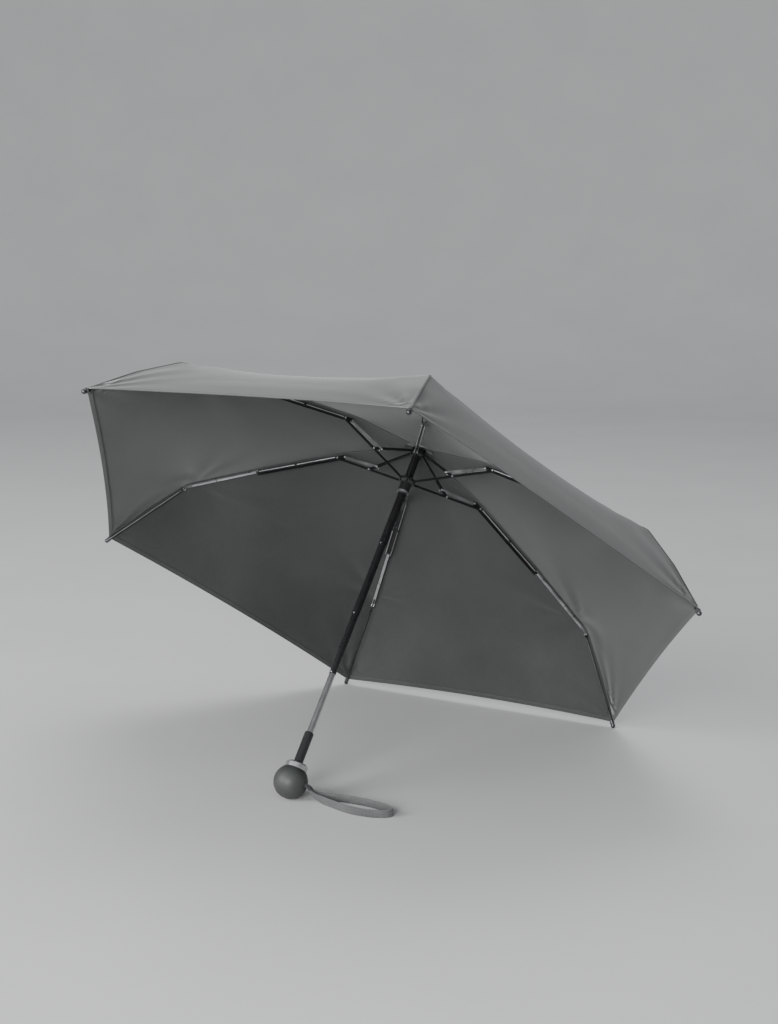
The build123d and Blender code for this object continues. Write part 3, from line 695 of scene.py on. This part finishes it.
def rivets(letter):
    """Bright heads on the ends of a rib's pins."""
    across = np.cross(rib_out(letter), -DOWN)
    stretcher, second = joint_place(f"stretcher_{letter}_fold"), joint_place(f"second_rib_{letter}_fold")
    knee = second + unit(stretcher - second) * STRETCHER_OUTER
    top = joint_place(f"top_rib_{letter}_fold")
    back = unit(top - knee)
    square = np.cross(across, back)
    square *= np.sign(square @ DOWN)
    heads = [
        ("knee", knee, TOP_RIB_HALF, f"top_rib_{letter}"),
        ("link_top", knee + back * LINK_BACK + square * LINK_DROP, LINK_HALF, f"top_rib_{letter}"),
        ("link_second", joint_place(f"link_{letter}_fold"), SECOND_RIB_HALF, f"second_rib_{letter}"),
        ("second", second, SECOND_RIB_HALF, f"second_rib_{letter}"),
        ("third", joint_place(f"third_rib_{letter}_fold"), SECOND_RIB_HALF, f"second_rib_{letter}"),
        ("outer", joint_place(f"outer_rib_{letter}_fold"), THIRD_RIB_HALF, f"third_rib_{letter}"),
    ]
    for name, place, half, body in heads:
        for hand, sign in (("left", 1), ("right", -1)):
            base = place + across * sign * half
            dome(f"rivet_{name}_{letter}_{hand}", base, across * sign, RIVET_R, RIVET_HIGH, BRIGHT, body)


def tie(name, centre, along, up, tall, wide, body):
    """Two turns of thread round a rib and the cloth's seam."""
    over = np.cross(along, up)
    turns = np.linspace(0, 4 * math.pi, 57)
    path = [
        centre + over * wide * math.cos(t) + up * tall * math.sin(t) + along * 0.0006 * (t / (2 * math.pi) - 1)
        for t in turns
    ]
    loop = tube_along(name, path, 0.00022, THREAD, 6)
    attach(loop, body)


def ties(letter):
    """Threads that hold the cloth to a rib, and the ones at its tip."""
    number = RIB_NAMES.index(letter)
    places = [
        ("second_rib", "second_rib", "third_rib", 0.45),
        ("second_rib", "second_rib", "third_rib", 0.93),
        ("third_rib", "third_rib", "outer_rib", 0.55),
    ]
    for index, (body, start, end, share) in enumerate(places):
        a, b = joint_place(f"{start}_{letter}_fold"), joint_place(f"{end}_{letter}_fold")
        centre = a + (b - a) * share
        radius = float(np.linalg.norm((centre - HUB) - DOWN * ((centre - HUB) @ DOWN)))
        cloth = gore_surface(number, share_of(np.array([radius])), np.array([-1.0]))[0]
        up = cloth - centre
        along = unit(b - a)
        up = up - along * (up @ along)
        tall = np.linalg.norm(up) / 2 + 0.0012
        tie(f"tie_{letter}_{index}", centre + up / 2 - unit(up) * 0.0004, along, unit(up), tall, 0.0041, f"{body}_{letter}")
    tip = gore_surface(number, np.array([1.0]), np.array([-1.0]))[0]
    pivot = joint_place(f"outer_rib_{letter}_fold")
    wire_end = HUB + rib_out(letter) * TIP[0] + DOWN * TIP[1]
    along = unit(wire_end - pivot)
    up = unit((tip - wire_end) - along * ((tip - wire_end) @ along))
    for turn in range(3):
        centre = wire_end - along * (0.0034 + 0.0006 * turn) + up * 0.0003
        tie(f"tip_thread_{letter}_{turn}", centre, along, up, TIP_CAP_R + 0.0006, TIP_CAP_R + 0.0002, f"outer_rib_{letter}")


def rosette():
    """The small cloth disc under the hub's cap, whose edge hangs in soft ruffles."""
    first = rib_out("a")
    second = np.cross(first, DOWN)
    rings, sides = 12, 72
    rows = np.linspace(ROSETTE_HOLE, ROSETTE_REACH, rings)
    points = []
    for r in rows:
        out = (r - ROSETTE_HOLE) / (ROSETTE_REACH - ROSETTE_HOLE)
        for k in range(sides):
            turn = 2 * math.pi * k / sides
            ruffle = out**2 * (0.0011 * math.sin(6 * turn + 0.6) + 0.0005 * math.sin(11 * turn))
            depth = ROSETTE_DEPTH + 0.0026 * out**2 + ruffle
            points.append(HUB + (first * math.cos(turn) + second * math.sin(turn)) * r + DOWN * depth)
    faces = []
    for row in range(rings - 1):
        for k in range(sides):
            a, b = row * sides + k, row * sides + (k + 1) % sides
            faces.append((a, b, b + sides, a + sides))
    disc = mesh_object("rosette", points, faces)
    write_uv(disc, [p @ first for p in np.array(points)], [p @ second for p in np.array(points)])
    paint(disc, CLOTH)
    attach(disc, "canopy_top")
    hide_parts("hub_rosette")


def stop_pins():
    """The bright ends of the shaft's stop pins."""
    front = np.cross(DOWN, (1.0, 0.0, 0.0))
    front *= -np.sign(front[1])
    for body, depth, radius in (("canopy_top", 0.1462, 0.0055), ("tube_2", 0.2522, 0.005), ("tube_3", 0.3382, 0.0045)):
        base = HUB + DOWN * depth + front * (radius + 0.0002)
        dome(f"stop_pin_{body}", base, front, 0.00095, 0.0003, BRIGHT, body)


# Strap

BALL_LOW, BALL_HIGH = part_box("handle_ball")
BALL_Y = (BALL_LOW.y + BALL_HIGH.y) / 2


def smooth_route(name, route):
    """The places along a smooth curve through a route's control points, which are (x, y from the ball, z)."""
    curve = bpy.data.curves.new(name, "CURVE")
    curve.dimensions = "3D"
    curve.resolution_u = 12
    spline = curve.splines.new("NURBS")
    spline.points.add(len(route) - 1)
    for point, (x, y, z) in zip(spline.points, route):
        point.co = (x, y + BALL_Y, z, 1)
    spline.order_u = 3
    spline.use_endpoint_u = True
    thing = new_object(name, curve)
    mesh = bpy.data.meshes.new_from_object(thing)
    places = [np.array(v.co) for v in mesh.vertices]
    bpy.data.objects.remove(thing)
    bpy.data.curves.remove(curve)
    bpy.data.meshes.remove(mesh)
    return np.array(places)


def wrist_strap():
    """Flat webbing on its edge, narrowed at both ends where it is gathered, with its cord and its wrapping."""
    cord_path = smooth_route("cord_route", CORD_ROUTE)
    cord = tube_along("wrist_cord", cord_path, CORD_R, DARK_CORD, 12)
    turns = np.repeat(np.arange(12) / 12 * 2 * math.pi * CORD_R, 1)
    along = np.concatenate([[0], np.cumsum(np.linalg.norm(np.diff(cord_path, axis=0), axis=1))])
    write_uv(cord, np.tile(turns, len(cord_path)), np.repeat(along, 12))
    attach(cord, "handle")
    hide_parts("strap_cord")

    path = smooth_route("strap_route", STRAP_ROUTE)
    steps = np.concatenate([[0], np.cumsum(np.linalg.norm(np.diff(path, axis=0), axis=1))])
    total = steps[-1]
    ways = np.gradient(path, axis=0)
    ways /= np.linalg.norm(ways, axis=1, keepdims=True)
    section = [(-0.5, -0.3), (-0.5, 0.3), (-0.46, 0.5), (-0.2, 0.46), (0.0, 0.45), (0.2, 0.46), (0.46, 0.5),
               (0.5, 0.3), (0.5, -0.3), (0.46, -0.5), (0.2, -0.46), (0.0, -0.45), (-0.2, -0.46), (-0.46, -0.5)]
    points, across, lengths = [], [], []
    for place, way, step in zip(path, ways, steps):
        near = min(step, total - step)
        wide = WEBBING_WIDE * (GATHERED + (1 - GATHERED) * float(smooth_step(0.0, GATHER_LONG, near)))
        up = unit(np.array((0.0, 0.0, 1.0)) - way * way[2])
        side = np.cross(way, up)
        for high, thick in section:
            crimp = 0.00012 * math.sin(step * 1400) if abs(high) < 0.4 else 0.0
            points.append(place + up * wide * high + side * (WEBBING_THICK * thick + crimp))
            across.append(high * WEBBING_WIDE)
            lengths.append(step)
    sides = len(section)
    faces = []
    for row in range(len(path) - 1):
        for k in range(sides):
            a, b = row * sides + k, row * sides + (k + 1) % sides
            faces.append((a, b, b + sides, a + sides))
    faces.append(tuple(range(sides))[::-1])
    faces.append(tuple((len(path) - 1) * sides + k for k in range(sides)))
    strap = mesh_object("wrist_strap", points, faces)
    strap.data.set_sharp_from_angle(angle=0.9)
    write_uv(strap, across, lengths)
    paint(strap, WEBBING)
    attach(strap, "handle")
    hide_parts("strap")

    wrap_path = cord_path[(cord_path[:, 0] > WRAP_FROM) & (cord_path[:, 0] < WRAP_TO)]
    coils = 7
    fine = np.linspace(0, 1, 113)
    grid = np.linspace(0, 1, len(wrap_path))
    line = np.stack([np.interp(fine, grid, wrap_path[:, k]) for k in range(3)], axis=1)
    bulge = 0.00013 * np.abs(np.sin(fine * math.pi * coils))
    wrap = tube_along("strap_wrapping", line, 0.0021 + 0.0009 * fine + bulge, DARK_CORD, 16)
    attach(wrap, "handle")


camera()
stage()
wrist_strap()
canopy()
rosette()
stop_pins()
for letter in RIB_NAMES:
    rivets(letter)
    ties(letter)
